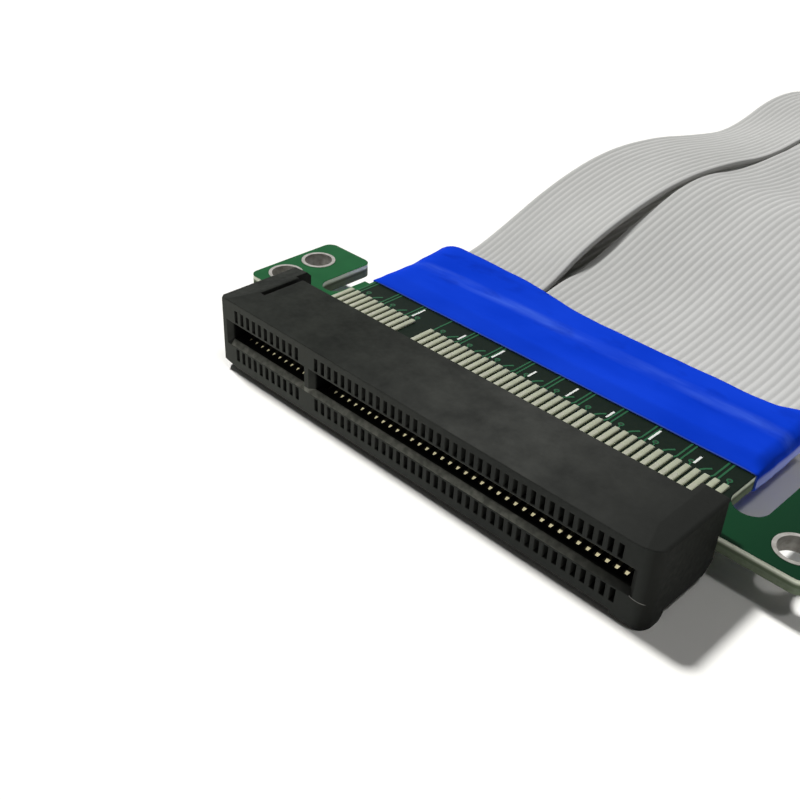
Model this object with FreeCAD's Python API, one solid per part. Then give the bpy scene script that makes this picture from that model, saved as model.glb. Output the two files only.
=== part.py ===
"""PCI Express x8 riser cable: edge socket on a small board, four flat ribbon cables, and a plug board.

Frame: origin on the table under the middle of the object's box. +X runs along the contact rows from
contact 1 to contact 49, +Y from the socket's mouth to the plug, +Z up. Millimetres.
"""

import FreeCAD, Part
import math
import os

os.makedirs("parts", exist_ok=True)
Vec = FreeCAD.Vector

# ---- Driving dimensions ----
OVERALL_LENGTH = 200.0
FRONT_Y = -OVERALL_LENGTH / 2
BACK_Y = OVERALL_LENGTH / 2

# Contact rows: 11 contacts, a key two pitches wide, 38 contacts, above and below the card slot
PITCH = 1.0
SHORT_COUNT = 11
LONG_COUNT = 38
KEY_GAP = 2 * PITCH
FIRST_X = -25.0
CARD_T = 1.6
CARD_CLEARANCE = 0.15
CARD_END_MARGIN = 1.1

# Socket housing
HOUSING_LEFT = -28.1
HOUSING_RIGHT = 28.2
HOUSING_DEPTH = 8.8
EAR_DEPTH = 10.4
EAR_OVERHANG = 0.6
EAR_WIDTH = 2.6
SLOT_Z = 4.93
HALF_THICKNESS = 4.15
END_HALF_THICKNESS = 3.65
LEFT_TAPER = 2.7
RIGHT_TAPER = 2.1
FRONT_FALL = 0.25
FRONT_SLOPE_DEPTH = 3.2
REAR_CHAMFER = 1.3
REAR_TOP_CHAMFER = 0.6
LEFT_FRONT_CORNER = 0.7
RIGHT_FRONT_R = 1.8
RIGHT_TOP_R = 0.4
RIGHT_BOTTOM_R = 0.25
RIGHT_REAR_R = 0.3
FOOT_LEFT = 25.0
FOOT_DEPTH = 3.1
FOOT_ROUND = 0.7
FOOT_ROOT = 0.5
GROOVE_LEFT = -25.0
GROOVE_WIDTH = 0.7
GROOVE_START = 3.4
GROOVE_DEPTH = 0.75
MOUTH_DEPTH = 7.6
LEAD_IN = 0.55
LEAD_IN_DEPTH = 0.5

# Contact cavities
ROW_OFFSET = 2.4
CAVITY_WIDTH = 0.52
CAVITY_HEIGHT = 1.45
COMB_START = 1.4
COMB_END = 6.6

# Contacts: a stamped strip, given as (depth behind the mouth, height from the slot's centre)
CONTACT_T = 0.2
CONTACT_WIDTH = 0.4
SPRING_PATH = [(1.5, 1.6), (2.7, 0.75), (6.2, 3.025), (8.9, 3.025)]
TAIL_START = 10.7
TAIL_END = 15.0

# Socket board
BOARD_T = 1.6
BOARD_TOP = 4.8
BOARD_FRONT = 10.4
WING_HALF_SPAN = 36.3
WING_BACK = 23.6
WING_CORNER = 1.2
NOTCH_LEFT = (-28.7, -25.7)
NOTCH_RIGHT = (26.1, 29.7)
NOTCH_FRONT = 14.7
TONGUE_BACK = 30.2
NECK_LEFT = -24.9
NECK_START = 19.6
HOLE_R = 1.7
HOLE_LINING_R = 2.1
HOLE_X = 33.6
HOLE_DEPTHS = (13.9, 19.1)
COPPER_T = 0.05
PAD_WIDTH = 0.62
PAD_START = 10.9
PAD_END = 17.1

# Ribbon cables
WIRE_PITCH = 0.95
RIBBON_T = 0.85
NARROW_WIRES = 14
WIDE_WIRES = 35
NARROW_LEFT = -22.0
RIBBON_GAP = 0.3
SOLDERED_FROM = 22.4

# Sleeves over the soldered ends
SLEEVE_T = 0.35
SLEEVE_FRONT = 20.4
SLEEVE_BACK = 31.6
SLEEVE_CLEARANCE = 0.1
PLUG_SLEEVE_OVERHANG = 1.4
PLUG_SLEEVE_COVER = 9.8

# Plug board
PLUG_BOARD_T = 1.6
PLUG_BOARD_BOTTOM = SLEEVE_T + RIBBON_T
PLUG_HALF_WIDTH = 28.0
PLUG_TONGUE = 8.25
PLUG_BOARD_LENGTH = 30.0
PLUG_CORNER = 1.0
PLUG_BEVEL = 0.35
PLUG_BEVEL_LENGTH = 1.0
FINGER_WIDTH = 0.7
FINGER_LENGTH = 4.3
FINGER_SETBACK = 1.2
CARD_KEY_WIDTH = 1.9

# Ribbon routes as (Y, Z) points of the cable's middle; straight runs are joined by tangent arcs
ROUTE_TOP_START = BOARD_TOP + RIBBON_T / 2
ROUTE_LOW_START = BOARD_TOP - BOARD_T - RIBBON_T / 2
ROUTE_TOP_END = PLUG_BOARD_BOTTOM + PLUG_BOARD_T + RIBBON_T / 2
ROUTE_LOW_END = PLUG_BOARD_BOTTOM - RIBBON_T / 2
LOWEST = RIBBON_T / 2
ROUTE_FROM = FRONT_Y + SOLDERED_FROM
ROUTE_TO = BACK_Y - 22.4

UPPER_NARROW_ROUTE = [
    (ROUTE_FROM, ROUTE_TOP_START), (-65.3, ROUTE_TOP_START), (-60.0, 7.6), (-50.0, 10.8), (-39.0, 12.6),
    (-27.0, 10.7), (-16.0, 9.5), (-4.0, 8.5), (10.0, 10.2), (25.0, 8.2), (42.0, 4.9), (60.0, ROUTE_TOP_END),
    (ROUTE_TO, ROUTE_TOP_END),
]
UPPER_WIDE_ROUTE = [
    (ROUTE_FROM, ROUTE_TOP_START), (-65.0, ROUTE_TOP_START), (-59.0, 6.5), (-49.0, 9.2), (-37.0, 12.1),
    (-25.0, 9.3), (-9.0, 9.8), (10.0, 8.9), (25.0, 7.6), (42.0, 4.7), (60.0, ROUTE_TOP_END),
    (ROUTE_TO, ROUTE_TOP_END),
]
LOWER_NARROW_ROUTE = [
    (ROUTE_FROM, ROUTE_LOW_START), (-60.8, ROUTE_LOW_START), (-49.0, LOWEST), (-35.0, 1.4), (-19.0, 2.7),
    (-2.0, 0.9), (16.0, 1.7), (36.0, 1.3), (58.0, ROUTE_LOW_END), (ROUTE_TO, ROUTE_LOW_END),
]
LOWER_WIDE_ROUTE = [
    (ROUTE_FROM, ROUTE_LOW_START), (-60.8, ROUTE_LOW_START), (-49.0, LOWEST), (-35.0, 1.6), (-19.0, 3.0),
    (-2.0, 1.1), (16.0, 1.9), (36.0, 1.5), (58.0, ROUTE_LOW_END), (ROUTE_TO, ROUTE_LOW_END),
]

# ---- Values worked out from the driving dimensions ----
CONTACT_XS = [FIRST_X + PITCH * i for i in range(SHORT_COUNT)]
LONG_FIRST_X = FIRST_X + PITCH * (SHORT_COUNT - 1) + PITCH + KEY_GAP
CONTACT_XS += [LONG_FIRST_X + PITCH * i for i in range(LONG_COUNT)]
KEY_X = (CONTACT_XS[SHORT_COUNT - 1] + LONG_FIRST_X) / 2
CARD_LEFT = CONTACT_XS[0] - CARD_END_MARGIN
CARD_RIGHT = CONTACT_XS[-1] + CARD_END_MARGIN
NARROW_RIGHT = NARROW_LEFT + NARROW_WIRES * WIRE_PITCH
WIDE_LEFT = NARROW_RIGHT + RIBBON_GAP
WIDE_RIGHT = WIDE_LEFT + WIDE_WIRES * WIRE_PITCH


def save(shape, name):
    """Write one node's solid or group of solids."""
    shape.exportStep("parts/" + name + ".step")


def box(x0, x1, y0, y1, z0, z1):
    """An axis-aligned block between two corners."""
    return Part.makeBox(x1 - x0, y1 - y0, z1 - z0, Vec(x0, y0, z0))


def prism(points, direction):
    """A closed outline of points, extruded along a vector."""
    wire = Part.makePolygon(points + [points[0]])
    return Part.Face(wire).extrude(direction)


# ---- Socket housing ----
def edges_at(shape, **planes):
    """The edges that lie on all the named planes, such as x=2 and z=0."""
    found = []
    for edge in shape.Edges:
        b = edge.BoundBox
        reach = {"x": (b.XMin, b.XMax), "y": (b.YMin, b.YMax), "z": (b.ZMin, b.ZMax)}
        if all(abs(end - at) < 0.001 for axis, at in planes.items() for end in reach[axis]):
            found.append(edge)
    return found


def housing_plan():
    """The moulding seen from above, extruded: an ear at each end reaches back past the body."""
    back = FRONT_Y + EAR_DEPTH + EAR_OVERHANG
    body_back = FRONT_Y + HOUSING_DEPTH
    left_ear, right_ear = HOUSING_LEFT + EAR_WIDTH, HOUSING_RIGHT - EAR_WIDTH
    outline = [
        Vec(HOUSING_LEFT + LEFT_FRONT_CORNER, FRONT_Y, 0), Vec(HOUSING_RIGHT, FRONT_Y, 0),
        Vec(HOUSING_RIGHT, back, 0), Vec(right_ear, back, 0), Vec(right_ear, body_back, 0),
        Vec(left_ear, body_back, 0), Vec(left_ear, back, 0), Vec(HOUSING_LEFT, back, 0),
        Vec(HOUSING_LEFT, FRONT_Y + LEFT_FRONT_CORNER, 0),
    ]
    form = prism(outline, Vec(0, 0, 2 * SLOT_Z))
    form = form.makeFillet(RIGHT_FRONT_R, edges_at(form, x=HOUSING_RIGHT, y=FRONT_Y))
    return form.makeFillet(RIGHT_REAR_R, edges_at(form, x=HOUSING_RIGHT, y=back))


def housing_block():
    """The moulding's outer form: its front, side and plan outlines, each extruded, have it in common."""
    low, high = SLOT_Z - HALF_THICKNESS, SLOT_Z + HALF_THICKNESS
    end_low, end_high = SLOT_Z - END_HALF_THICKNESS, SLOT_Z + END_HALF_THICKNESS
    left_taper, right_taper = HOUSING_LEFT + LEFT_TAPER, HOUSING_RIGHT - RIGHT_TAPER
    ear_back = FRONT_Y + EAR_DEPTH
    overhang_back = ear_back + EAR_OVERHANG
    front_outline = [
        Vec(HOUSING_LEFT, FRONT_Y, end_low), Vec(left_taper, FRONT_Y, low), Vec(HOUSING_RIGHT, FRONT_Y, low),
        Vec(HOUSING_RIGHT, FRONT_Y, end_high), Vec(right_taper, FRONT_Y, high),
        Vec(left_taper, FRONT_Y, high), Vec(HOUSING_LEFT, FRONT_Y, end_high),
    ]
    front_form = prism(front_outline, Vec(0, overhang_back - FRONT_Y, 0))
    front_form = front_form.makeFillet(RIGHT_TOP_R, edges_at(front_form, x=HOUSING_RIGHT, z=end_high))
    front_form = front_form.makeFillet(RIGHT_BOTTOM_R, edges_at(front_form, x=HOUSING_RIGHT, z=low))
    side_outline = [
        (FRONT_Y, low), (ear_back - REAR_CHAMFER, low), (ear_back, low + REAR_CHAMFER), (ear_back, BOARD_TOP),
        (overhang_back, BOARD_TOP), (overhang_back, high - REAR_TOP_CHAMFER),
        (overhang_back - REAR_TOP_CHAMFER, high), (FRONT_Y + FRONT_SLOPE_DEPTH, high),
        (FRONT_Y, high - FRONT_FALL),
    ]
    side_points = [Vec(HOUSING_LEFT, y, z) for y, z in side_outline]
    side_form = prism(side_points, Vec(HOUSING_RIGHT - HOUSING_LEFT, 0, 0))
    return front_form.common(side_form).common(housing_plan())


def housing_foot():
    """The lobe under the right end that the socket stands on, flush with the end and the front."""
    top = SLOT_Z - HALF_THICKNESS + FOOT_ROOT
    back = FRONT_Y + FOOT_DEPTH
    foot = box(FOOT_LEFT, HOUSING_RIGHT, FRONT_Y, back, 0, top)
    for y in (FRONT_Y, back):
        foot = foot.makeFillet(FOOT_ROUND, edges_at(foot, y=y, z=0))
    return foot.common(housing_plan())


def mouth_section(x0, x1):
    """One section of the card slot: a parallel pocket behind a flared lead-in."""
    half = CARD_T / 2 + CARD_CLEARANCE
    pocket = box(x0, x1, FRONT_Y, FRONT_Y + MOUTH_DEPTH, SLOT_Z - half, SLOT_Z + half)
    rings = []
    for y, flare in ((FRONT_Y, LEAD_IN), (FRONT_Y + LEAD_IN_DEPTH, 0.0)):
        corners = [
            Vec(x0 - flare, y, SLOT_Z - half - flare), Vec(x1 + flare, y, SLOT_Z - half - flare),
            Vec(x1 + flare, y, SLOT_Z + half + flare), Vec(x0 - flare, y, SLOT_Z + half + flare),
        ]
        rings.append(Part.makePolygon(corners + [corners[0]]))
    lead_in = Part.makeLoft(rings, True, True)
    return pocket.fuse(lead_in)


def cavity(x, side):
    """A contact cavity, open to the front, the rear and, through a comb slot, the card slot."""
    row_z = SLOT_Z + side * ROW_OFFSET
    left, right = x - CAVITY_WIDTH / 2, x + CAVITY_WIDTH / 2
    channel = box(left, right, FRONT_Y, FRONT_Y + HOUSING_DEPTH,
                  row_z - CAVITY_HEIGHT / 2, row_z + CAVITY_HEIGHT / 2)
    inner, outer = sorted((SLOT_Z, row_z))
    comb = box(left, right, FRONT_Y + COMB_START, FRONT_Y + COMB_END, inner, outer)
    return channel.fuse(comb)


def socket_housing():
    block = housing_block().fuse(housing_foot())
    key_half = CARD_KEY_WIDTH / 2 - CARD_CLEARANCE / 2
    cuts = [
        mouth_section(CARD_LEFT - CARD_CLEARANCE, KEY_X - key_half),
        mouth_section(KEY_X + key_half, CARD_RIGHT + CARD_CLEARANCE),
    ]
    for side in (1, -1):
        cuts += [cavity(x, side) for x in CONTACT_XS]
    top = SLOT_Z + HALF_THICKNESS
    cuts.append(box(GROOVE_LEFT, GROOVE_LEFT + GROOVE_WIDTH, FRONT_Y + GROOVE_START, BACK_Y,
                    top - GROOVE_DEPTH, top + GROOVE_DEPTH))
    return block.cut(cuts).removeSplitter()


# ---- Contacts ----
def strip_outline(path, thickness):
    """Both sides of a bent strip around its middle line, mitred at the bends, as (Y, Z) pairs."""
    left, right = [], []
    last = len(path) - 1
    for i, (y, z) in enumerate(path):
        y0, z0 = path[max(i - 1, 0)]
        y1, z1 = path[min(i + 1, last)]
        d0 = Vec(0, y - y0, z - z0) if i > 0 else Vec(0, y1 - y, z1 - z)
        d1 = Vec(0, y1 - y, z1 - z) if i < last else Vec(0, y - y0, z - z0)
        d0.normalize()
        d1.normalize()
        normal = Vec(0, -(d0.z + d1.z), d0.y + d1.y)
        normal.normalize()
        reach = thickness / 2 / (normal.z * d0.y - normal.y * d0.z)
        left.append((y + normal.y * reach, z + normal.z * reach))
        right.append((y - normal.y * reach, z - normal.z * reach))
    return left + right[::-1]


def contact(x, side):
    """One contact: tip, bump, spring, and a tail that lies on the board's pad."""
    path = [(FRONT_Y + depth, SLOT_Z + side * height) for depth, height in SPRING_PATH]
    pad_z = BOARD_TOP + COPPER_T if side > 0 else BOARD_TOP - BOARD_T - COPPER_T
    tail_z = pad_z + side * CONTACT_T / 2
    path.append((FRONT_Y + TAIL_START, tail_z))
    path.append((FRONT_Y + TAIL_END, tail_z))
    outline = [Vec(x - CONTACT_WIDTH / 2, y, z) for y, z in strip_outline(path, CONTACT_T)]
    return prism(outline, Vec(CONTACT_WIDTH, 0, 0))


def contact_group(indices, side):
    return Part.makeCompound([contact(CONTACT_XS[i], side) for i in indices])


# ---- Socket board ----
def notch(x0, x1):
    """A slot between a wing and the tongue, open to the rear, with a round front end."""
    radius = (x1 - x0) / 2
    low = BOARD_TOP - BOARD_T
    end_y = FRONT_Y + NOTCH_FRONT + radius
    straight = box(x0, x1, end_y, FRONT_Y + TONGUE_BACK + 1.0, low, BOARD_TOP)
    return straight.fuse(Part.makeCylinder(radius, BOARD_T, Vec(x0 + radius, end_y, low)))


def socket_board():
    """The board: a tongue for the cables between two wings that each have two holes."""
    low = BOARD_TOP - BOARD_T
    front, wing_back = FRONT_Y + BOARD_FRONT, FRONT_Y + WING_BACK
    wings = box(-WING_HALF_SPAN, WING_HALF_SPAN, front, wing_back, low, BOARD_TOP)
    tongue = box(NOTCH_LEFT[1], NOTCH_RIGHT[0], wing_back, FRONT_Y + TONGUE_BACK, low, BOARD_TOP)
    board = wings.fuse(tongue).cut([notch(*NOTCH_LEFT), notch(*NOTCH_RIGHT)])
    corners = [edge for x in (-WING_HALF_SPAN, WING_HALF_SPAN) for y in (front, wing_back)
               for edge in edges_at(board, x=x, y=y)]
    corners += [edge for x in (NOTCH_LEFT[0], NOTCH_RIGHT[1]) for edge in edges_at(board, x=x, y=wing_back)]
    board = board.makeFillet(WING_CORNER, corners)
    neck = box(NOTCH_LEFT[1], NECK_LEFT, FRONT_Y + NECK_START, FRONT_Y + TONGUE_BACK, low, BOARD_TOP)
    holes = [Part.makeCylinder(HOLE_LINING_R, BOARD_T, Vec(x, FRONT_Y + y, low))
             for x in (-HOLE_X, HOLE_X) for y in HOLE_DEPTHS]
    return board.cut(holes + [neck])


def hole_platings():
    """The metal linings of the four holes, which stand just proud of both faces as rings."""
    low = BOARD_TOP - BOARD_T - COPPER_T
    high = BOARD_TOP + COPPER_T
    linings = []
    for x in (-HOLE_X, HOLE_X):
        for depth in HOLE_DEPTHS:
            centre = Vec(x, FRONT_Y + depth, low)
            lining = Part.makeCylinder(HOLE_LINING_R, high - low, centre)
            linings.append(lining.cut(Part.makeCylinder(HOLE_R, high - low, centre)))
    return Part.makeCompound(linings)


def flat_row(width, y0, y1, z):
    """One thin plated strip for each contact position."""
    return Part.makeCompound([box(x - width / 2, x + width / 2, y0, y1, z, z + COPPER_T) for x in CONTACT_XS])


# ---- Ribbon cables ----
def turn_radius(before, corner, after):
    """The radius of the arc at a corner, which takes 0.45 of the shorter of the two runs beside it."""
    d0, d1 = corner - before, after - corner
    return 0.45 * min(d0.Length, d1.Length) / math.tan(d0.getAngle(d1) / 2)


def route_edges(points, offset):
    """A line beside the route, at a distance from its middle, as straight edges and tangent arcs."""
    edges = []
    start = None
    for i in range(len(points)):
        here = points[i]
        if i in (0, len(points) - 1):
            run = points[i + 1] - here if i == 0 else here - points[i - 1]
            run.normalize()
            spot = here + Vec(0, -run.z, run.y) * offset
            if start is not None:
                edges.append(Part.LineSegment(start, spot).toShape())
            start = spot
            continue
        d0, d1 = here - points[i - 1], points[i + 1] - here
        radius = turn_radius(points[i - 1], here, points[i + 1])
        reach = radius * math.tan(d0.getAngle(d1) / 2)
        d0.normalize()
        d1.normalize()
        n0, n1 = Vec(0, -d0.z, d0.y), Vec(0, -d1.z, d1.y)
        left_turn = d0.y * d1.z - d0.z * d1.y > 0
        centre = here - d0 * reach + n0 * (radius if left_turn else -radius)
        away = here - centre
        away.normalize()
        arc_radius = radius - offset if left_turn else radius + offset
        first = here - d0 * reach + n0 * offset
        last = here + d1 * reach + n1 * offset
        edges.append(Part.LineSegment(start, first).toShape())
        edges.append(Part.Arc(first, centre + away * arc_radius, last).toShape())
        start = last
    return edges


def ribbon(route, x0, x1, name):
    """A flat cable: its long section, bounded by a line above and one below the route, swept across."""
    points = [Vec(x0, y, z) for y, z in route]
    above = route_edges(points, RIBBON_T / 2)
    below = route_edges(points, -RIBBON_T / 2)
    first = Part.LineSegment(below[0].Vertexes[0].Point, above[0].Vertexes[0].Point).toShape()
    last = Part.LineSegment(below[-1].Vertexes[-1].Point, above[-1].Vertexes[-1].Point).toShape()
    wire = Part.Wire(Part.__sortEdges__(above + below + [first, last]))
    solid = Part.Face(wire).extrude(Vec(x1 - x0, 0, 0))
    middle = sum(e.Length for e in route_edges(points, 0.0))
    radii = [turn_radius(*points[i - 1:i + 2]) for i in range(1, len(points) - 1)]
    share = solid.Volume / (middle * RIBBON_T * (x1 - x0))
    print(name, "length %.1f" % middle, "smallest radius %.0f" % min(radii), "volume share %.4f" % share)
    return solid


# ---- Sleeves ----
def grown(outline, reach):
    """The corners of a closed (X, Z) outline, moved out until its sides lie this far from the old ones."""
    out = []
    for i, (x, z) in enumerate(outline):
        x0, z0 = outline[i - 1]
        x1, z1 = outline[(i + 1) % len(outline)]
        d0, d1 = Vec(x - x0, 0, z - z0), Vec(x1 - x, 0, z1 - z)
        d0.normalize()
        d1.normalize()
        side = Vec(-d0.z - d1.z, 0, d0.x + d1.x)
        side.normalize()
        length = reach / (side.z * d0.x - side.x * d0.z)
        out.append((x + side.x * length, z + side.z * length))
    return out


def sleeve(board_left, board_right, board_low, board_high, stations):
    """A sleeve shrunk round a board and its ribbons; each station is (Y, how far the ribbons lift it)."""
    inner, outer = [], []
    for y, lift in stations:
        outline = [
            (board_left, board_low), (board_left, board_high), (NARROW_LEFT, board_high + lift),
            (WIDE_RIGHT, board_high + lift), (board_right, board_high), (board_right, board_low),
            (WIDE_RIGHT, board_low - lift), (NARROW_LEFT, board_low - lift),
        ]
        for wires, points in ((inner, outline), (outer, grown(outline, SLEEVE_T))):
            corners = [Vec(x, y, z) for x, z in points]
            wires.append(Part.makePolygon(corners + [corners[0]]))
    return Part.makeLoft(outer, True, True).cut(Part.makeLoft(inner, True, True))


# ---- Plug board ----
def plug_board():
    """The card-edge board: shoulders, a keyed tongue and a bevelled leading edge."""
    low, high = PLUG_BOARD_BOTTOM, PLUG_BOARD_BOTTOM + PLUG_BOARD_T
    rear = BACK_Y - PLUG_BOARD_LENGTH
    shoulder = BACK_Y - PLUG_TONGUE
    outline = [
        Vec(-PLUG_HALF_WIDTH, rear, low), Vec(PLUG_HALF_WIDTH, rear, low),
        Vec(PLUG_HALF_WIDTH, shoulder, low), Vec(CARD_RIGHT, shoulder, low),
        Vec(CARD_RIGHT, BACK_Y - PLUG_CORNER, low), Vec(CARD_RIGHT - PLUG_CORNER, BACK_Y, low),
        Vec(CARD_LEFT + PLUG_CORNER, BACK_Y, low), Vec(CARD_LEFT, BACK_Y - PLUG_CORNER, low),
        Vec(CARD_LEFT, shoulder, low), Vec(-PLUG_HALF_WIDTH, shoulder, low),
    ]
    board = prism(outline, Vec(0, 0, PLUG_BOARD_T))
    key_half = CARD_KEY_WIDTH / 2
    key_end = shoulder + key_half
    key = box(KEY_X - key_half, KEY_X + key_half, key_end, BACK_Y, low, high)
    key = key.fuse(Part.makeCylinder(key_half, PLUG_BOARD_T, Vec(KEY_X, key_end, low)))
    board = board.cut(key)
    for z, into in ((low, 1), (high, -1)):
        bevel = [
            Vec(CARD_LEFT, BACK_Y, z), Vec(CARD_LEFT, BACK_Y, z + into * PLUG_BEVEL),
            Vec(CARD_LEFT, BACK_Y - PLUG_BEVEL_LENGTH, z),
        ]
        board = board.cut(prism(bevel, Vec(CARD_RIGHT - CARD_LEFT, 0, 0)))
    return board


# ---- Write every node ----
SHORT_PINS = range(SHORT_COUNT)
LONG_PINS = range(SHORT_COUNT, SHORT_COUNT + LONG_COUNT)

save(socket_housing(), "socket_housing")
save(contact_group(SHORT_PINS, 1), "upper_contacts_short_row")
save(contact_group(LONG_PINS, 1), "upper_contacts_long_row")
save(contact_group(SHORT_PINS, -1), "lower_contacts_short_row")
save(contact_group(LONG_PINS, -1), "lower_contacts_long_row")

save(socket_board(), "socket_board")
save(hole_platings(), "mounting_hole_platings")
board_low = BOARD_TOP - BOARD_T
save(flat_row(PAD_WIDTH, FRONT_Y + PAD_START, FRONT_Y + PAD_END, BOARD_TOP), "socket_upper_pads")
save(flat_row(PAD_WIDTH, FRONT_Y + PAD_START, FRONT_Y + PAD_END, board_low - COPPER_T), "socket_lower_pads")

save(ribbon(UPPER_NARROW_ROUTE, NARROW_LEFT, NARROW_RIGHT, "upper narrow"), "upper_narrow_ribbon")
save(ribbon(UPPER_WIDE_ROUTE, WIDE_LEFT, WIDE_RIGHT, "upper wide"), "upper_wide_ribbon")
save(ribbon(LOWER_NARROW_ROUTE, NARROW_LEFT, NARROW_RIGHT, "lower narrow"), "lower_narrow_ribbon")
save(ribbon(LOWER_WIDE_ROUTE, WIDE_LEFT, WIDE_RIGHT, "lower wide"), "lower_wide_ribbon")

socket_stations = [
    (FRONT_Y + SLEEVE_FRONT, 0.0), (ROUTE_FROM - SLEEVE_CLEARANCE, RIBBON_T),
    (FRONT_Y + SLEEVE_BACK, RIBBON_T),
]
save(sleeve(NECK_LEFT, NOTCH_RIGHT[0], board_low, BOARD_TOP, socket_stations), "socket_sleeve")

plug_rear = BACK_Y - PLUG_BOARD_LENGTH
plug_high = PLUG_BOARD_BOTTOM + PLUG_BOARD_T
save(plug_board(), "plug_board")
finger_back = BACK_Y - FINGER_SETBACK
save(flat_row(FINGER_WIDTH, finger_back - FINGER_LENGTH, finger_back, plug_high), "plug_upper_fingers")
save(flat_row(FINGER_WIDTH, finger_back - FINGER_LENGTH, finger_back, PLUG_BOARD_BOTTOM - COPPER_T),
     "plug_lower_fingers")
plug_stations = [
    (plug_rear - PLUG_SLEEVE_OVERHANG, RIBBON_T), (ROUTE_TO + SLEEVE_CLEARANCE, RIBBON_T),
    (plug_rear + PLUG_SLEEVE_COVER, 0.0),
]
save(sleeve(-PLUG_HALF_WIDTH, PLUG_HALF_WIDTH, PLUG_BOARD_BOTTOM, plug_high, plug_stations), "plug_sleeve")
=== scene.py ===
"""Looks of the riser card: ridged ribbons, shrunk sleeves, solder, board print, materials and studio."""

import math

import bpy
from mathutils import Matrix, Vector, noise


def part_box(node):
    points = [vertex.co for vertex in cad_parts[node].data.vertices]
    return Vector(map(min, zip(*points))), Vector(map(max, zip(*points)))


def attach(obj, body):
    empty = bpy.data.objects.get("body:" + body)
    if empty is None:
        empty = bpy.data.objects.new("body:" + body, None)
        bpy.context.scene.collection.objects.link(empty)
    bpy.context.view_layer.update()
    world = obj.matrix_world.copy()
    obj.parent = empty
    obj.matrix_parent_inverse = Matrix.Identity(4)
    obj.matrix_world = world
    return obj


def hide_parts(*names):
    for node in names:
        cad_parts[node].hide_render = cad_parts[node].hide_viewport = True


MM = 0.001
SLOT_Z = 4.93  # height of the middle of the card slot

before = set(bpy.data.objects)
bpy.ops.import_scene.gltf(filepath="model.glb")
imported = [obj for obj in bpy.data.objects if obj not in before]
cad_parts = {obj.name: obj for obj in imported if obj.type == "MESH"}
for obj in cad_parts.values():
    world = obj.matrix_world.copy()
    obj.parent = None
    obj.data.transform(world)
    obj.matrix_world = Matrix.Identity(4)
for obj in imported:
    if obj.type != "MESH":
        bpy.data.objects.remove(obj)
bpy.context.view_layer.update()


def node_box(name):
    """A node's two corners in millimetres."""
    low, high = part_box(name)
    return [v / MM for v in low], [v / MM for v in high]


# ---------------------------------------------------------------- mesh helpers
def mesh_object(name, verts, faces, smooth=True):
    """A mesh from millimetre points."""
    mesh = bpy.data.meshes.new(name)
    mesh.from_pydata([Vector(v) * MM for v in verts], [], faces)
    mesh.update()
    if smooth:
        mesh.shade_smooth()
    obj = bpy.data.objects.new(name, mesh)
    bpy.context.scene.collection.objects.link(obj)
    return obj


def rgb(red, green, blue):
    """A colour as it looks on a screen, 0 to 255, turned into light."""
    light = []
    for level in (red, green, blue):
        share = level / 255
        light.append(share / 12.92 if level < 11 else ((share + 0.055) / 1.055) ** 2.4)
    return tuple(light)


def between(stops, at):
    """The value at one place on a line through (place, value) stops; 0 outside them."""
    value = 0.0
    for (a, low), (b, high) in zip(stops, stops[1:]):
        if a <= at <= b:
            value = low + (high - low) * (at - a) / (b - a)
    return value


class Parts:
    """Collects many small solids into one mesh."""

    def __init__(self):
        self.verts = []
        self.faces = []

    def add(self, verts, faces):
        base = len(self.verts)
        self.verts += verts
        self.faces += [[base + i for i in face] for face in faces]

    def slab(self, outline, z0, z1):
        """A flat outline of (x, y) points, counter-clockwise from above, with a thickness."""
        n = len(outline)
        verts = [(x, y, z0) for x, y in outline] + [(x, y, z1) for x, y in outline]
        faces = [list(range(n))[::-1], list(range(n, 2 * n))]
        faces += [[i, (i + 1) % n, n + (i + 1) % n, n + i] for i in range(n)]
        self.add(verts, faces)

    def track(self, points, width, z0, z1):
        """A thin strip that follows a bent line of (x, y) points."""
        left, right = [], []
        for i, (x, y) in enumerate(points):
            ax, ay = points[max(i - 1, 0)]
            bx, by = points[min(i + 1, len(points) - 1)]
            length = math.hypot(bx - ax, by - ay)
            nx, ny = -(by - ay) / length, (bx - ax) / length
            left.append((x + nx * width / 2, y + ny * width / 2))
            right.append((x - nx * width / 2, y - ny * width / 2))
        self.slab(right + left[::-1], z0, z1)

    def disc(self, x, y, radius, z0, z1, sides=12):
        """A flat round plate."""
        ring = [(x + radius * math.cos(2 * math.pi * k / sides),
                 y + radius * math.sin(2 * math.pi * k / sides)) for k in range(sides)]
        self.slab(ring, z0, z1)

    def loaf(self, x, y0, y1, half_w, base, height, round_r=0.14, rings=4, sides=12):
        """A low bar of solder between two Y positions, rounded at its edges. Negative height hangs down."""
        verts = []
        for r in range(rings):
            angle = math.pi / 2 * r / (rings - 1)
            corner = round_r * math.cos(angle)
            for k in range(sides):
                turn = 2 * math.pi * (k + 0.5) / sides
                across = math.copysign(half_w - round_r, math.cos(turn)) + corner * math.cos(turn)
                along = math.copysign((y1 - y0) / 2 - round_r, math.sin(turn)) + corner * math.sin(turn)
                verts.append((x + across, (y0 + y1) / 2 + along, base + height * math.sin(angle)))
        faces = []
        for r in range(rings - 1):
            for k in range(sides):
                a, b = r * sides + k, r * sides + (k + 1) % sides
                faces.append([a, b, b + sides, a + sides])
        faces.append([(rings - 1) * sides + k for k in range(sides)])
        faces.append(list(range(sides))[::-1])
        if height < 0:
            faces = [face[::-1] for face in faces]
        self.add(verts, faces)

    def build(self, name, smooth=False):
        return mesh_object(name, self.verts, self.faces, smooth)


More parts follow.
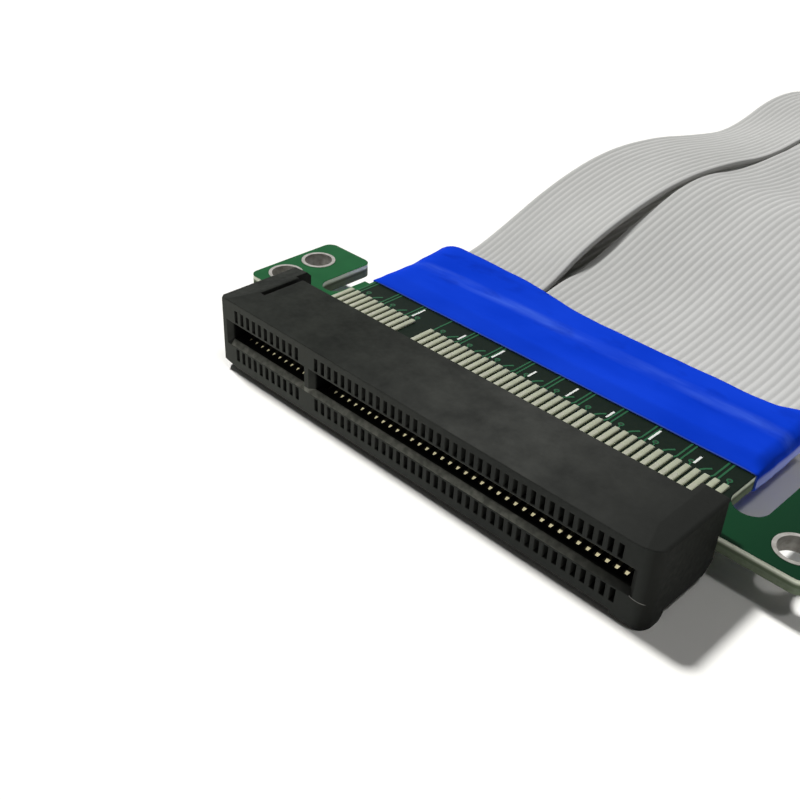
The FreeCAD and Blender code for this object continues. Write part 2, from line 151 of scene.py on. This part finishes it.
# ---------------------------------------------------------------- materials
class Look:
    """A node material with a Principled shader and short ways to add texture to it."""

    def __init__(self, name, color, roughness, metallic=0.0):
        self.mat = bpy.data.materials.new(name)
        self.mat.use_nodes = True
        self.nodes = self.mat.node_tree.nodes
        self.links = self.mat.node_tree.links
        self.shader = self.nodes["Principled BSDF"]
        self.set("Base Color", (*color, 1.0))
        self.set("Roughness", roughness)
        self.set("Metallic", metallic)

    def set(self, socket, value):
        self.shader.inputs[socket].default_value = value

    def link(self, out, socket):
        self.links.new(out, self.shader.inputs[socket])

    def node(self, kind, **values):
        made = self.nodes.new(kind)
        for key, value in values.items():
            setattr(made, key, value)
        return made

    def coords(self, scale=(1, 1, 1)):
        """Object coordinates, stretched."""
        source = self.node("ShaderNodeTexCoord")
        mapping = self.node("ShaderNodeMapping")
        mapping.inputs["Scale"].default_value = scale
        self.links.new(source.outputs["Object"], mapping.inputs["Vector"])
        return mapping.outputs["Vector"]

    def noise(self, size_mm, detail=3.0, rough=0.5, stretch=(1, 1, 1)):
        """Noise whose features are about this many millimetres across."""
        made = self.node("ShaderNodeTexNoise")
        made.inputs["Scale"].default_value = 1.0 / (size_mm * MM)
        made.inputs["Detail"].default_value = detail
        made.inputs["Roughness"].default_value = rough
        self.links.new(self.coords(stretch), made.inputs["Vector"])
        return made.outputs["Fac"]

    def ramp(self, fac, stops):
        """A colour ramp; each stop is (position, colour)."""
        made = self.node("ShaderNodeValToRGB")
        elements = made.color_ramp.elements
        while len(elements) < len(stops):
            elements.new(0.5)
        for element, (position, color) in zip(elements, stops):
            element.position = position
            element.color = (*color, 1.0)
        self.links.new(fac, made.inputs["Fac"])
        return made.outputs["Color"]

    def grade(self, fac, low, high, out_low, out_high):
        """A number from one range moved to another."""
        made = self.node("ShaderNodeMapRange")
        ends = {"From Min": low, "From Max": high, "To Min": out_low, "To Max": out_high}
        for socket, value in ends.items():
            made.inputs[socket].default_value = value
        self.links.new(fac, made.inputs["Value"])
        return made.outputs["Result"]

    def mix(self, fac, first, second):
        """Two colours mixed by a number."""
        made = self.node("ShaderNodeMix", data_type="RGBA")
        self.links.new(fac, made.inputs["Factor"])
        for name, value in (("A", first), ("B", second)):
            socket = [s for s in made.inputs if s.name == name and s.type == "RGBA"][0]
            if isinstance(value, tuple):
                socket.default_value = (*value, 1.0)
            else:
                self.links.new(value, socket)
        return [s for s in made.outputs if s.type == "RGBA"][0]

    def bump(self, height, depth_mm, strength=1.0, below=None):
        """Relief of the given depth, laid over another relief if one is given."""
        made = self.node("ShaderNodeBump")
        made.inputs["Strength"].default_value = strength
        made.inputs["Distance"].default_value = depth_mm * MM
        self.links.new(height, made.inputs["Height"])
        if below is not None:
            self.links.new(below, made.inputs["Normal"])
        self.link(made.outputs["Normal"], "Normal")
        return made.outputs["Normal"]

    def rounded(self, radius_mm):
        """Shading that rounds the sharp edges off by this radius."""
        made = self.node("ShaderNodeBevel", samples=4)
        made.inputs["Radius"].default_value = radius_mm * MM
        return made.outputs["Normal"]

    def along(self, axis, low, high):
        """0 below and 1 above a narrow range of millimetres on one of the object's axes."""
        split = self.node("ShaderNodeSeparateXYZ")
        self.links.new(self.coords(), split.inputs["Vector"])
        return self.grade(split.outputs[axis], low * MM, high * MM, 0.0, 1.0)

    def both(self, first, second):
        """The product of two numbers."""
        made = self.node("ShaderNodeMath", operation="MULTIPLY")
        self.links.new(first, made.inputs[0])
        self.links.new(second, made.inputs[1])
        return made.outputs["Value"]

    def within(self, axis, low, high, edge=0.05):
        """1 between two millimetre positions on one of the object's axes, 0 outside them."""
        return self.both(self.along(axis, low - edge, low), self.along(axis, high + edge, high))

    def slanted(self, slope, low, high, edge=0.04):
        """1 between two lines of this slope in the XZ plane, 0 outside them.

        low and high are the lines' heights in millimetres at X 0.
        """
        split = self.node("ShaderNodeSeparateXYZ")
        rise = self.node("ShaderNodeMath", operation="MULTIPLY_ADD")
        self.links.new(self.coords(), split.inputs["Vector"])
        self.links.new(split.outputs["X"], rise.inputs[0])
        self.links.new(split.outputs["Z"], rise.inputs[2])
        rise.inputs[1].default_value = -slope
        enter = self.grade(rise.outputs["Value"], (low - edge) * MM, low * MM, 0.0, 1.0)
        leave = self.grade(rise.outputs["Value"], (high + edge) * MM, high * MM, 0.0, 1.0)
        return self.both(enter, leave)

    def facing(self, axis, low, high):
        """1 on faces square to an axis, 0 on faces along it; the change lies between two shares."""
        geometry = self.node("ShaderNodeNewGeometry")
        split = self.node("ShaderNodeSeparateXYZ")
        size = self.node("ShaderNodeMath", operation="ABSOLUTE")
        self.links.new(geometry.outputs["Normal"], split.inputs["Vector"])
        self.links.new(split.outputs[axis], size.inputs[0])
        return self.grade(size.outputs["Value"], low, high, 0.0, 1.0)

    def patchy(self, size_mm, low, high):
        """Roughness that wanders between two values."""
        self.link(self.grade(self.noise(size_mm), 0.3, 0.7, low, high), "Roughness")


def housing_look():
    """Fine matte black with painted shade on the top faces, towards the right end and inside the mouth,
    painted light on its front faces, a mottled painted highlight on the lower lip, and one scratch.
    """
    look = Look("housing_black", rgb(44, 44, 43), 0.6)
    look.set("Specular IOR Level", 0.04)
    cloud = look.noise(3.5, detail=5, rough=0.6)
    body = look.ramp(cloud, [(0.3, rgb(40, 41, 39)), (0.7, rgb(60, 61, 58))])
    # painted shade: top faces darker, more so towards the left
    top = look.both(look.facing("Z", 0.5, 0.8), look.along("X", 8.0, -12.0))
    body = look.mix(top, body, look.ramp(cloud, [(0.3, rgb(20, 22, 19)), (0.7, rgb(38, 40, 36))]))
    # painted shade: darker towards the right end
    body = look.mix(look.along("X", 14.0, 27.0), body, rgb(36, 37, 35))
    # painted light: front faces paler, more so towards the left
    front = look.mix(look.along("X", 10.0, -18.0), rgb(50, 52, 50), rgb(72, 74, 70))
    body = look.mix(look.facing("Y", 0.7, 0.95), body, front)
    # painted shade: near black inside the mouth
    mouth = look.both(look.along("Y", -99.5, -99.2), look.within("Z", SLOT_Z - 1.3, SLOT_Z + 1.3))
    mouth = look.both(mouth, look.within("X", -26.4, 26.4))
    body = look.mix(mouth, body, rgb(10, 10, 10))
    # painted highlight: a mottled pale band on the lower lip's lead-in
    lip_highlight_mottle = look.grade(look.noise(0.7, detail=4), 0.35, 0.7, 0.0, 1.0)
    lip = look.both(look.within("Z", SLOT_Z - 1.48, SLOT_Z - 0.95, 0.02), look.along("Y", -99.45, -99.5))
    lip = look.both(lip, look.both(look.along("X", -26.2, -26.1), look.along("X", 26.0, 14.0)))
    body = look.mix(lip, body, look.mix(lip_highlight_mottle, rgb(102, 104, 97), rgb(138, 139, 130)))
    scratch = look.both(look.within("X", 26.5, 28.4), look.slanted(-0.42, 14.56, 14.6))
    scratch = look.both(scratch, look.along("Y", -99.3, -99.5))
    look.link(look.mix(scratch, body, rgb(122, 122, 118)), "Base Color")
    look.patchy(0.6, 0.55, 0.7)
    grain = look.bump(look.noise(0.25, detail=2), 0.012, 0.5, look.rounded(0.2))
    look.bump(look.noise(3.0), 0.1, 0.2, grain)
    return look.mat


def contact_look():
    """A painted glint, pale gold and glowing, on a narrow band of each spring, dimmed by painted shade on
    each row's first contacts; near black painted shade elsewhere on the gold; tinned tail.
    """
    look = Look("contact_strip", rgb(236, 214, 150), 0.32, 0.6)
    # painted shade: the gold is near black away from the glint band
    darker_tone = look.mix(look.noise(0.8), rgb(44, 40, 26), rgb(28, 26, 18))
    # painted highlight: a narrow glint band on each spring
    painted_glint = look.both(look.along("Y", -98.32, -98.26), look.along("Y", -97.96, -98.02))
    # painted shade: the glint fades on each row's first contacts
    short_row = look.along("X", -25.4, -22.6)
    long_row = look.grade(look.within("X", -13.0, -11.6, 1.4), 0, 1, 1, 0)
    painted_glint = look.both(painted_glint, look.both(short_row, long_row))
    gold = look.mix(painted_glint, darker_tone, rgb(255, 248, 214))
    tin = look.mix(look.noise(0.5), rgb(176, 177, 160), rgb(150, 150, 132))
    look.link(look.mix(look.along("Y", -91.2, -90.8), gold, tin), "Base Color")
    # painted light: the glint band glows
    look.set("Emission Color", (*rgb(236, 226, 180), 1.0))
    look.link(look.grade(painted_glint, 0.0, 1.0, 0.0, 0.55), "Emission Strength")
    look.patchy(0.4, 0.24, 0.42)
    return look.mat


def tinned_look(name, bright, darker_tone, metallic):
    """Tin or solder in two mingled tones."""
    look = Look(name, bright, 0.4, metallic)
    look.link(look.mix(look.noise(0.6, detail=4), bright, darker_tone), "Base Color")
    look.patchy(0.3, 0.32, 0.55)
    look.bump(look.noise(0.35), 0.02, 0.4)
    return look.mat


def finger_look():
    """Gold plating on the plug's fingers."""
    look = Look("gold_finger", rgb(232, 190, 100), 0.3, 1.0)
    look.link(look.mix(look.noise(0.8), rgb(236, 196, 108), rgb(214, 172, 86)), "Base Color")
    look.patchy(0.4, 0.2, 0.38)
    return look.mat


def board_look(name, bare, low):
    """Green mask over copper, with layered cut edges that carry a painted highlight along the top.

    It is nearly black inside bare, an (x0, x1, y0, y1) span; low is the height of the board's underside.
    """
    look = Look(name, rgb(26, 74, 44), 0.45)
    look.set("Specular IOR Level", 0.03)
    pours = look.mix(look.noise(2.5, detail=3), rgb(18, 74, 40), rgb(28, 90, 50))
    pours = look.mix(look.along("X", 0.0, 34.0), pours, rgb(12, 46, 28))
    if bare is not None:
        x0, x1, y0, y1 = bare
        inside = look.both(look.within("X", x0, x1), look.within("Y", y0, y1))
        dark = look.mix(look.noise(0.5, detail=4), rgb(10, 24, 17), rgb(24, 32, 24))
        pours = look.mix(inside, pours, dark)
    layers = look.mix(look.within("Z", low + 0.75, low + 0.9, 0.1), rgb(112, 122, 104), rgb(92, 102, 84))
    streaks = look.grade(look.noise(0.3), 0.4, 0.7, 0.0, 0.6)
    edge_and_highlight = look.mix(streaks, layers, rgb(96, 108, 86))
    # painted highlight: the cut edge's upper rim is near white
    edge_and_highlight = look.mix(look.along("Z", low + 1.0, low + 1.3), edge_and_highlight, rgb(250, 255, 236))
    flat = look.facing("Z", 0.4, 0.6)
    look.link(look.mix(flat, edge_and_highlight, pours), "Base Color")
    look.link(look.grade(flat, 0.0, 1.0, 0.7, 0.4), "Roughness")
    look.bump(look.noise(0.5), 0.012, 0.4, look.rounded(0.25))
    return look.mat


def plain_print(name, color, roughness):
    """A thin matt layer of one colour, slightly mottled."""
    look = Look(name, color, roughness)
    look.set("Specular IOR Level", 0.1)
    look.link(look.mix(look.noise(0.25), color, tuple(0.8 * c for c in color)), "Base Color")
    look.bump(look.noise(0.2), 0.01, 0.4)
    return look.mat


def sleeve_look():
    """Blue film with a painted sheen in pale streaks and darker patches near its rear rim, and a painted
    highlight on its end rims; its upright sides look greyish.
    """
    look = Look("sleeve_blue", rgb(10, 56, 196), 0.8)
    look.set("Specular IOR Level", 0.02)
    cloud = look.noise(5.0, detail=3, stretch=(0.4, 1, 1))
    blue = look.ramp(cloud, [(0.30, rgb(6, 53, 190)), (0.70, rgb(16, 62, 204))])
    # painted sheen: pale streaks near the rear rim
    streaks = look.grade(look.noise(1.4, detail=3, stretch=(0.16, 1, 1)), 0.4, 0.8, 0.1, 0.6)
    rear = look.both(look.along("Y", -74.4, -73.4), look.along("Y", -72.0, -72.8))
    blue = look.mix(look.both(streaks, rear), blue, rgb(70, 106, 216))
    # darker patches near the rear rim
    dark_patches = look.grade(look.noise(2.2, detail=4, stretch=(0.5, 1, 1)), 0.55, 0.75, 0.0, 0.5)
    blue = look.mix(look.both(dark_patches, look.within("Y", -74.0, -67.0, 2.0)), blue, rgb(4, 36, 150))
    side = look.both(look.facing("X", 0.85, 0.97), look.along("Z", board_high[2] - 0.3, board_high[2] - 0.8))
    blue = look.mix(side, blue, rgb(150, 160, 226))
    # painted highlight: the film's end rims are paler
    look.link(look.mix(look.facing("Y", 0.7, 0.95), blue, rgb(84, 112, 214)), "Base Color")
    fine = look.bump(look.noise(0.7, detail=3, stretch=(1, 0.4, 1)), 0.02, 0.3)
    look.bump(look.noise(3.5, detail=2, stretch=(0.35, 1, 1)), 0.12, 0.3, fine)
    return look.mat


def ribbon_look():
    """Light grey jackets, a little darker towards the left."""
    look = Look("ribbon_grey", rgb(190, 190, 187), 0.55)
    look.set("Specular IOR Level", 0.1)
    cloud = look.noise(9.0, detail=3, stretch=(1, 0.3, 1))
    left = look.ramp(cloud, [(0.3, rgb(172, 172, 169)), (0.7, rgb(182, 182, 179))])
    right = look.ramp(cloud, [(0.3, rgb(182, 182, 180)), (0.7, rgb(192, 192, 190))])
    look.link(look.mix(look.along("X", -12.0, 20.0), left, right), "Base Color")
    look.patchy(1.5, 0.45, 0.62)
    look.bump(look.noise(0.3, stretch=(1, 0.2, 1)), 0.012, 0.4)
    return look.mat


def dress(name, mat):
    """Give one CAD node its material in every slot."""
    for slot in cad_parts[name].material_slots:
        slot.material = mat


board_low, board_high = node_box("socket_board")
plug_low, plug_high = node_box("plug_board")

CONTACT = contact_look()
FINGERS = finger_look()
TINNED = tinned_look("tinned_pad", rgb(168, 170, 150), rgb(146, 147, 126), 0.1)
SOLDER = tinned_look("solder", rgb(172, 176, 152), rgb(150, 153, 128), 0.1)
PLATING = tinned_look("hole_lining", rgb(186, 184, 178), rgb(96, 90, 82), 0.15)
SOCKET_BOARD = board_look("socket_board_green", (-24.4, 26.4, -91.5, -69.0), board_low[2])
PLUG_BOARD = board_look("plug_board_green", None, plug_low[2])
HOUSING = housing_look()
SLEEVE = sleeve_look()
RIBBON = ribbon_look()
TRACE = plain_print("trace_green", rgb(34, 88, 56), 0.45)
# painted shade: each via's hole is a flat dark disc
VIA = plain_print("via_hole", rgb(40, 44, 38), 0.5)
SILK = plain_print("silk_white", rgb(224, 226, 220), 0.6)

dress("socket_housing", HOUSING)
for row in ("upper_contacts_short_row", "upper_contacts_long_row",
            "lower_contacts_short_row", "lower_contacts_long_row"):
    dress(row, CONTACT)
for pads in ("socket_upper_pads", "socket_lower_pads"):
    dress(pads, TINNED)
for fingers in ("plug_upper_fingers", "plug_lower_fingers"):
    dress(fingers, FINGERS)
dress("mounting_hole_platings", PLATING)
dress("socket_board", SOCKET_BOARD)
dress("plug_board", PLUG_BOARD)


def piece(obj, mat, slot, *nodes):
    """Give a piece its material and body, and hide any nodes it stands in for."""
    obj.data.materials.clear()
    obj.data.materials.append(mat)
    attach(obj, "root")
    if nodes:
        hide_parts(*nodes)


# ---------------------------------------------------------------- ribbons
RIBBON_T = 0.85
NARROW_WIRES = 14
WIDE_WIRES = 35

# each route steers a cable's middle line through (y, z) points, from one board to the other
ROUTE_FROM = -77.6
ROUTE_TO = 77.6
TOP_START = 5.225
LOW_START = 2.775
TOP_END = 3.225
LOW_END = 0.775
UPPER_NARROW = [
    (ROUTE_FROM, TOP_START), (-68.6, TOP_START), (-65.3, TOP_START), (-60.0, 7.6), (-50.0, 10.8),
    (-39.0, 12.6), (-27.0, 10.7), (-16.0, 9.5), (-4.0, 8.5), (10.0, 10.2), (25.0, 8.2), (42.0, 4.9),
    (60.0, TOP_END), (ROUTE_TO, TOP_END),
]
UPPER_WIDE = [
    (ROUTE_FROM, TOP_START), (-68.6, TOP_START), (-65.0, TOP_START), (-59.0, 6.5), (-49.0, 9.2),
    (-37.0, 12.1), (-25.0, 9.3), (-9.0, 9.8), (10.0, 8.9), (25.0, 7.6), (42.0, 4.7), (60.0, TOP_END),
    (ROUTE_TO, TOP_END),
]
LOWER_NARROW = [
    (ROUTE_FROM, LOW_START), (-68.6, LOW_START), (-60.8, LOW_START), (-49.0, 0.425), (-35.0, 1.4),
    (-19.0, 2.7), (-2.0, 0.9), (16.0, 1.7), (36.0, 1.3), (58.0, LOW_END), (ROUTE_TO, LOW_END),
]
LOWER_WIDE = [
    (ROUTE_FROM, LOW_START), (-68.6, LOW_START), (-60.8, LOW_START), (-49.0, 0.425), (-35.0, 1.6),
    (-19.0, 3.0), (-2.0, 1.1), (16.0, 1.9), (36.0, 1.5), (58.0, LOW_END), (ROUTE_TO, LOW_END),
]

# how far a cable's edge rides above its route, as (y, lift) stops
NO_LIFT = []
UPPER_NARROW_LEFT = [
    (-65.3, 0.0), (-60.0, -0.8), (-50.0, -0.5), (-39.0, -0.4), (-27.0, 0.7), (-16.0, -0.3), (-4.0, -1.2),
    (10.0, 0.6), (25.0, 0.0),
]
UPPER_NARROW_RIGHT = [
    (-68.6, 0.0), (-65.3, 1.0), (-60.0, 1.2), (-50.0, 0.4), (-39.0, -0.2), (-27.0, 0.8), (-16.0, 0.2),
    (-4.0, 2.0), (10.0, 0.6), (25.0, 0.0),
]
UPPER_WIDE_LEFT = [
    (-68.6, 0.0), (-65.0, 0.7), (-59.0, 0.1), (-49.0, 0.7), (-37.0, 0.3), (-25.0, 0.6), (-9.0, 0.0),
]
# close under the upper cables, so that the gap between those stays dark
LOWER_NARROW_BOTH = [
    (-68.6, 0.0), (-60.8, 0.6), (-49.0, 4.4), (-35.0, 4.0), (-19.0, 2.4), (-2.0, 1.4), (16.0, 0.0),
]


def spline_points(route, lifts, x):
    """Points along the smooth line that a lifted route steers, at one X."""
    curve = bpy.data.curves.new("route", "CURVE")
    curve.dimensions = "3D"
    curve.resolution_u = 8
    spline = curve.splines.new("NURBS")
    spline.points.add(len(route) - 1)
    for point, (y, z) in zip(spline.points, route):
        point.co = (x * MM, y * MM, (z + between(lifts, y)) * MM, 1.0)
    spline.order_u = 3
    spline.use_endpoint_u = True
    holder = bpy.data.objects.new("route", curve)
    bpy.context.scene.collection.objects.link(holder)
    mesh = bpy.data.meshes.new_from_object(holder)
    points = [v.co / MM for v in mesh.vertices]
    bpy.data.objects.remove(holder)
    bpy.data.meshes.remove(mesh)
    bpy.data.curves.remove(curve)
    return points


def ribbon_section(wires):
    """The outline of a row of round jackets: (share across, half-heights up), over it and back under it."""
    ups = [(0.06, 0.72), (0.25, 0.94), (0.5, 1.0), (0.75, 0.94), (0.94, 0.72)]
    upper = [((w + along) / wires, height) for w in range(wires) for along, height in ups]
    return upper + [(share, -height) for share, height in upper[::-1]]


def ridged_ribbon(name, node, route, wires, left_lifts, right_lifts):
    """A flat cable of round jackets side by side; each edge may ride above the middle line."""
    low, high = node_box(node)
    left = spline_points(route, left_lifts, low[0])
    right = spline_points(route, right_lifts, high[0])
    section = ribbon_section(wires)
    verts, faces = [], []
    count = len(section)
    for i, (a, b) in enumerate(zip(left, right)):
        ahead = left[min(i + 1, len(left) - 1)] - left[max(i - 1, 0)]
        up = Vector((0, -ahead.z, ahead.y)).normalized()
        for share, height in section:
            verts.append(tuple(a.lerp(b, share) + up * (height * RIBBON_T / 2)))
    for i in range(len(left) - 1):
        for k in range(count):
            j = (k + 1) % count
            faces.append([i * count + k, i * count + j, (i + 1) * count + j, (i + 1) * count + k])
    last = (len(left) - 1) * count
    faces.append(list(range(count)))
    faces.append([last + k for k in range(count)][::-1])
    piece(mesh_object(name, verts, faces), RIBBON, "ribbon_jacket", node)


ridged_ribbon("upper_narrow_cable", "upper_narrow_ribbon", UPPER_NARROW, NARROW_WIRES,
              UPPER_NARROW_LEFT, UPPER_NARROW_RIGHT)
ridged_ribbon("upper_wide_cable", "upper_wide_ribbon", UPPER_WIDE, WIDE_WIRES, UPPER_WIDE_LEFT, NO_LIFT)
ridged_ribbon("lower_narrow_cable", "lower_narrow_ribbon", LOWER_NARROW, NARROW_WIRES,
              LOWER_NARROW_BOTH, LOWER_NARROW_BOTH)
ridged_ribbon("lower_wide_cable", "lower_wide_ribbon", LOWER_WIDE, WIDE_WIRES, NO_LIFT, NO_LIFT)


# ---------------------------------------------------------------- sleeves
FILM_T = 0.2
RINGS = 40
SHOULDER_STEPS = 6
ACROSS_STEPS = 80
SIDE_STEPS = 4

# how far the socket's film stands off its node's rear end, as (x, distance) stops: it steps forward to the
# right of the seam and flares back out at its right end
REAR_RIM = [
    (-27.0, 1.4), (-16.0, 0.85), (-10.0, 0.15), (-4.0, -0.75), (1.0, -1.15), (20.0, -1.35), (22.4, -1.1),
    (27.0, 1.1),
]
STRAIGHT_RIM = []


def film_loop(board, cables, lift):
    """The film's inner outline round a board and the cables that lift it.

    Each entry is an (x, z) point and its outward direction.
    """
    (x0, x1), (z0, z1) = board
    left, right = cables
    shoulder = [k / SHOULDER_STEPS for k in range(SHOULDER_STEPS)]
    across = [k / ACROSS_STEPS for k in range(ACROSS_STEPS + 1)]
    upper = [(x0 + (left - x0) * u, z1 + lift * (1 - (1 - u) ** 2)) for u in shoulder]
    upper += [(left + (right - left) * u, z1 + lift) for u in across]
    upper += [(right + (x1 - right) * (1 - u), z1 + lift * (1 - (1 - u) ** 2)) for u in shoulder[::-1]]
    side = [k / SIDE_STEPS for k in range(1, SIDE_STEPS)]
    spots = upper + [(x1, z1 + (z0 - z1) * u) for u in side]
    spots += [(x, z0 + z1 - z) for x, z in upper[::-1]]
    spots += [(x0, z0 + (z1 - z0) * u) for u in side]
    points = []
    for i, spot in enumerate(spots):
        run = Vector(spots[(i + 1) % len(spots)]) - Vector(spots[i - 1])
        points.append((Vector(spot), Vector((-run.y, run.x)).normalized()))
    return points


def rim_offset(stops, x, seed):
    """How far the rear rim stands off the node's rear end at this X, with a slight waver."""
    if not stops or not stops[0][0] <= x <= stops[-1][0]:
        return 0.0
    return between(stops, x) + 0.08 * noise.noise(Vector((x * 0.3, seed, 0)))


def shrunk_sleeve(name, node, board, rise, rim, rear_rise, seam_lift, seed):
    """Film shrunk over a board and its cables, crinkled.

    It climbs from the board onto the cables between the two Y positions of rise. Its upper side stands
    proud by rear_rise at the rear, and by seam_lift over the seam between the cables.
    """
    low, high = node_box(node)
    narrow_low, narrow_high = node_box("upper_narrow_ribbon")
    cables = (narrow_low[0], node_box("upper_wide_ribbon")[1][0])
    seam = narrow_high[0]
    verts, faces = [], []
    for shell in (1, 0):
        for r in range(RINGS + 1):
            t = r / RINGS
            middle = low[1] + (high[1] - low[1]) * t
            climb = min(1.0, max(0.0, (middle - rise[0]) / (rise[1] - rise[0])))
            loop = film_loop(board, cables, RIBBON_T * climb)
            for spot, out in loop:
                rear = high[1] + rim_offset(rim, spot.x, seed)
                y = low[1] + (rear - low[1]) * t
                crinkle = noise.noise(Vector((spot.x * 0.16, y * 0.5, seed + out.y * 2))) * 0.09
                crinkle += noise.noise(Vector((spot.x * 0.9, y * 1.6, seed + 7 + out.y))) * 0.02
                swell = 0.0
                if out.y > 0.5:
                    swell = rear_rise * max(0.0, t - 0.55) / 0.45
                    spread = 9.0 if spot.x < seam else 3.0
                    near = math.exp(-((spot.x - seam) / spread) ** 2)
                    swell += seam_lift * near * max(0.0, t - 0.35) / 0.65
                crinkle = max(-0.02, crinkle * (0.4 + 0.6 * shell) * (0.3 + 0.7 * climb))
                reach = FILM_T * shell + crinkle + swell
                verts.append((spot.x + out.x * reach, y, spot.y + out.y * reach))
    count = len(loop)
    per_shell = (RINGS + 1) * count
    for shell in (0, 1):
        for r in range(RINGS):
            for k in range(count):
                j = (k + 1) % count
                a = shell * per_shell + r * count
                quad = [a + k, a + j, a + count + j, a + count + k]
                faces.append(quad[::-1] if shell else quad)
    for r, flip in ((0, True), (RINGS, False)):
        for k in range(count):
            j = (k + 1) % count
            a = r * count
            quad = [a + k, a + j, per_shell + a + j, per_shell + a + k]
            faces.append(quad[::-1] if flip else quad)
    piece(mesh_object(name, verts, faces), SLEEVE, "blue_sleeve", node)


sleeve_low, sleeve_high = node_box("socket_sleeve")
tongue = ((sleeve_low[0] + 0.35, sleeve_high[0] - 0.35), (board_low[2], board_high[2]))
shrunk_sleeve("socket_sleeve_film", "socket_sleeve", tongue, (sleeve_low[1], ROUTE_FROM - 0.1), REAR_RIM,
              rear_rise=0.45, seam_lift=0.25, seed=3.0)
plug_span = ((plug_low[0], plug_high[0]), (plug_low[2], plug_high[2]))
plug_sleeve_end = node_box("plug_sleeve")[1][1]
shrunk_sleeve("plug_sleeve_film", "plug_sleeve", plug_span, (plug_sleeve_end, ROUTE_TO + 0.1), STRAIGHT_RIM,
              rear_rise=0.0, seam_lift=0.0, seed=11.0)

# ---------------------------------------------------------------- solder, traces, vias and print
CONTACT_XS = [-25.0 + i for i in range(11)] + [-12.0 + i for i in range(38)]
COPPER_RISE = 0.025
COPPER_SINK = 0.005
PRINT_RISE = 0.04
SOLDER_RISE = 0.24
pad_low, pad_high = node_box("socket_upper_pads")
pad_back = pad_high[1]
lower_pad_bottom = node_box("socket_lower_pads")[0][2]

solder = Parts()
for i, x in enumerate(CONTACT_XS):
    swing = noise.noise(Vector((i * 0.7, 0.3, 0)))
    for base, height in ((pad_high[2], SOLDER_RISE), (lower_pad_bottom, -SOLDER_RISE)):
        solder.loaf(x, pad_low[1] - 0.05, pad_back + 0.05 + 0.15 * swing, 0.36, base - height * 0.2, height)
piece(solder.build("contact_solder", True), SOLDER, "tinned_pads")

# behind the pads, in turn: a via, a bent stub, and two long traces
traces = Parts()
vias = Parts()
for side, face in ((1, board_high[2]), (-1, board_low[2])):
    z0, z1 = sorted((face - side * COPPER_SINK, face + side * COPPER_RISE))
    for x in CONTACT_XS:
        place = round(x) % 4
        if place in (3, 0):
            shift = 0.4 if place == 3 else -0.1
            traces.track([(x + shift * 0.4, pad_back - 0.1), (x + shift, pad_back + 0.5),
                          (x + shift, pad_back + 4.4)], 0.2, z0, z1)
        if place == 1:
            traces.track([(x, pad_back - 0.1), (x - 0.15, pad_back + 0.6)], 0.16, z0, z1)
            traces.disc(x - 0.2, pad_back + 0.85, 0.32, z0, z1, 16)
            # painted shade: a flat dark disc for the via's hole
            vias.disc(x - 0.2, pad_back + 0.85, 0.15, z0, z1 + 0.01 if side > 0 else z1)
        if place == 2:
            traces.track([(x, pad_back - 0.1), (x + 0.05, pad_back + 0.35), (x + 0.3, pad_back + 0.75),
                          (x + 0.75, pad_back + 1.25)], 0.24, z0, z1)
piece(traces.build("socket_board_traces"), TRACE, "circuit_board")
piece(vias.build("socket_board_vias"), VIA, "hole_plating")

# from the tenth pad on, a short tick at every fifth and a longer one at every tenth
ticks = Parts()
for number in range(10, len(CONTACT_XS), 5):
    x = CONTACT_XS[number - 1] + 0.1
    y = pad_back + 0.7
    length = 1.4 if number % 10 else 2.1
    ticks.track([(x, y), (x, y + length)], 0.24, board_high[2], board_high[2] + PRINT_RISE)
piece(ticks.build("socket_board_print"), SILK, "circuit_board")

# ---------------------------------------------------------------- floor, light and camera
FLOOR_HALF = 3000
ROOM_LIGHT = 0.07

corners = [(x * FLOOR_HALF, y * FLOOR_HALF, 0) for x, y in ((-1, -1), (1, -1), (1, 1), (-1, 1))]
floor = mesh_object("floor", corners, [(0, 1, 2, 3)], smooth=False)

floor_look = Look("floor_white", (0.95, 0.94, 0.9), 0.9)
floor_look.set("Specular IOR Level", 0.1)
floor_look.bump(floor_look.noise(40.0), 0.01, 0.1)
floor.data.materials.append(floor_look.mat)

# the background looks white itself and in reflections, and lights the object only faintly
world = bpy.data.worlds.new("studio")
bpy.context.scene.world = world
world.use_nodes = True
backdrop = world.node_tree.nodes["Background"]
backdrop.inputs["Color"].default_value = (1.0, 1.0, 1.0, 1.0)
nodes, links = world.node_tree.nodes, world.node_tree.links
path = nodes.new("ShaderNodeLightPath")
seen = nodes.new("ShaderNodeMath")
seen_through = nodes.new("ShaderNodeMath")
strength = nodes.new("ShaderNodeMapRange")
strength.inputs["To Min"].default_value = ROOM_LIGHT
strength.inputs["To Max"].default_value = 1.0
links.new(path.outputs["Is Camera Ray"], seen.inputs[0])
links.new(path.outputs["Is Glossy Ray"], seen.inputs[1])
links.new(seen.outputs["Value"], seen_through.inputs[0])
links.new(path.outputs["Is Transmission Ray"], seen_through.inputs[1])
links.new(seen_through.outputs["Value"], strength.inputs["Value"])
links.new(strength.outputs["Result"], backdrop.inputs["Strength"])


def lamp(name, towards, level, softness):
    """A soft far lamp: light arrives from one direction, spread over an angle in degrees."""
    light = bpy.data.lights.new(name, "SUN")
    light.energy = level * math.pi
    light.angle = math.radians(softness)
    holder = bpy.data.objects.new(name, light)
    holder.rotation_euler = Vector(towards).to_track_quat("Z", "Y").to_euler()
    bpy.context.scene.collection.objects.link(holder)


lamp("key", (-0.52, 0.04, 0.85), 1.1, 7)
lamp("overhead", (0.29, -0.07, 0.95), 0.14, 9)

camera = bpy.data.cameras.new("camera")
camera.lens = 46.88
camera.sensor_width = 36.0
camera.clip_start = 0.01
viewer = bpy.data.objects.new("camera", camera)
right = Vector((0.70266, 0.71053, 0.03759))
up = Vector((-0.41701, 0.36844, 0.83088))
back = right.cross(up)
viewer.matrix_world = Matrix.LocRotScale(
    Vector((0.055406, -0.15772, 0.062604)), Matrix((right, up, back)).transposed().to_quaternion(), None)
bpy.context.scene.collection.objects.link(viewer)
bpy.context.scene.camera = viewer
bpy.context.scene.view_settings.view_transform = "Standard"
